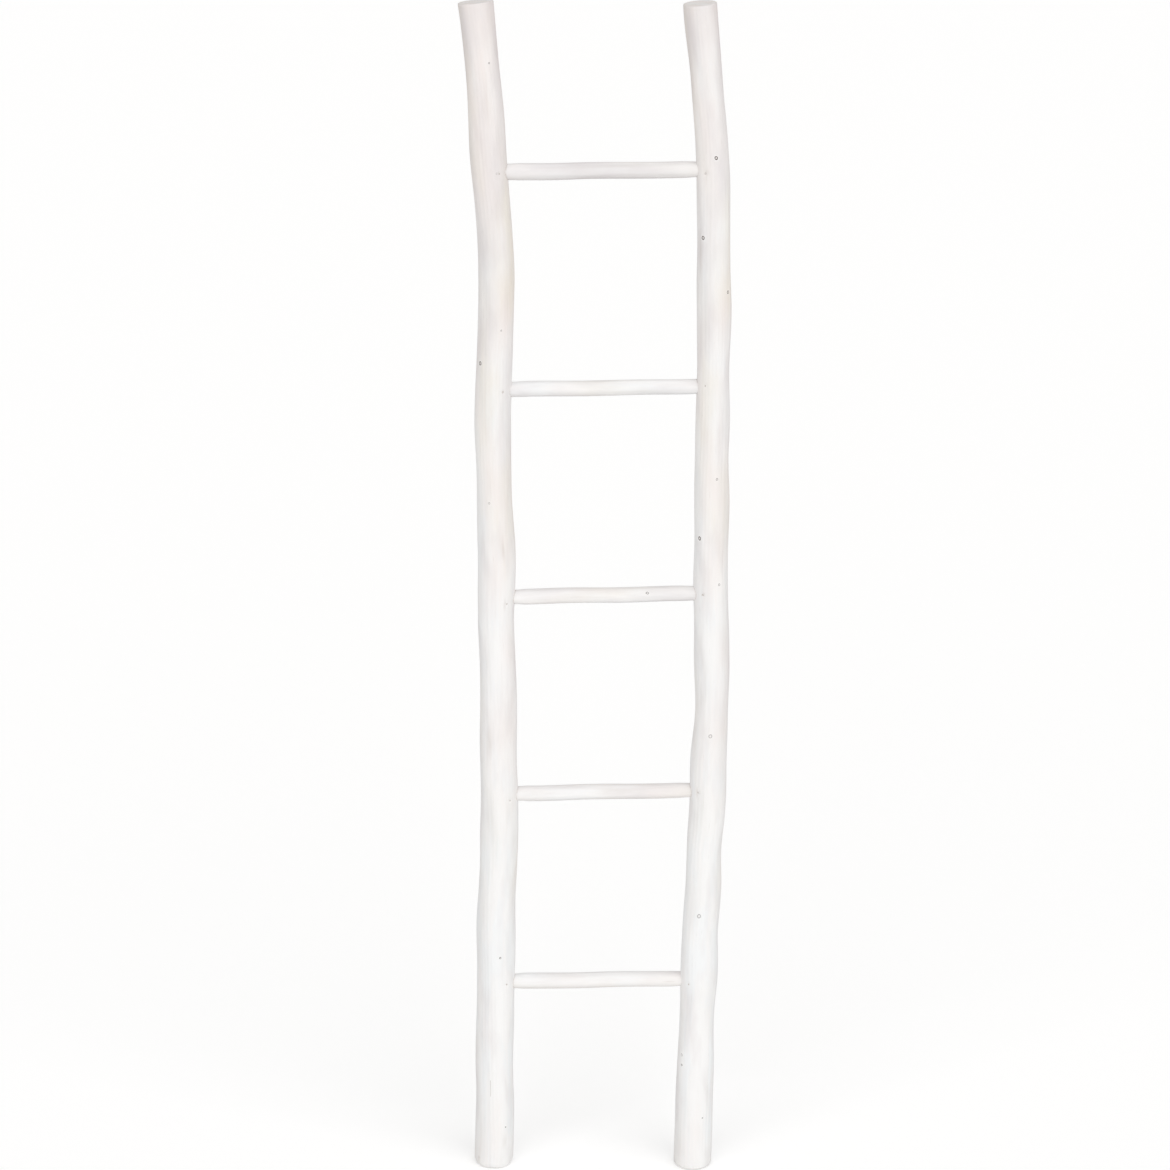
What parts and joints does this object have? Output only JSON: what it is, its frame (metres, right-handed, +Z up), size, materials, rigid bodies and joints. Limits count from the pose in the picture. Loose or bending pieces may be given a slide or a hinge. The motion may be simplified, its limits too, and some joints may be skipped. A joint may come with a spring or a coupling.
{
  "type": "blanket ladder",
  "caption": "Whitewashed blanket ladder of crooked branch rails with round rungs let into them, for hanging throws, quilts or towels.",
  "frame": {"origin": "on the floor, under the middle of the ladder's box", "axes": "+Z up the rails, +X to the right for someone facing the ladder's front, +Y away from them"},
  "size_m": [0.3686, 0.0638, 1.7279],
  "materials": {
    "rail_wood": "peeled branch, whitewashed, matt",
    "rung_wood": "shaved stick, whitewashed, matt",
    "brad_steel": "heads set below the wood and washed over"
  },
  "bodies": {
    "root": {"left_rail": "rail_wood", "right_rail": "rail_wood", "bottom_rung": "rung_wood", "fourth_rung": "rung_wood", "middle_rung": "rung_wood", "second_rung": "rung_wood", "top_rung": "rung_wood", "left_brads": "brad_steel", "right_brads": "brad_steel"}
  },
  "joints": []
}
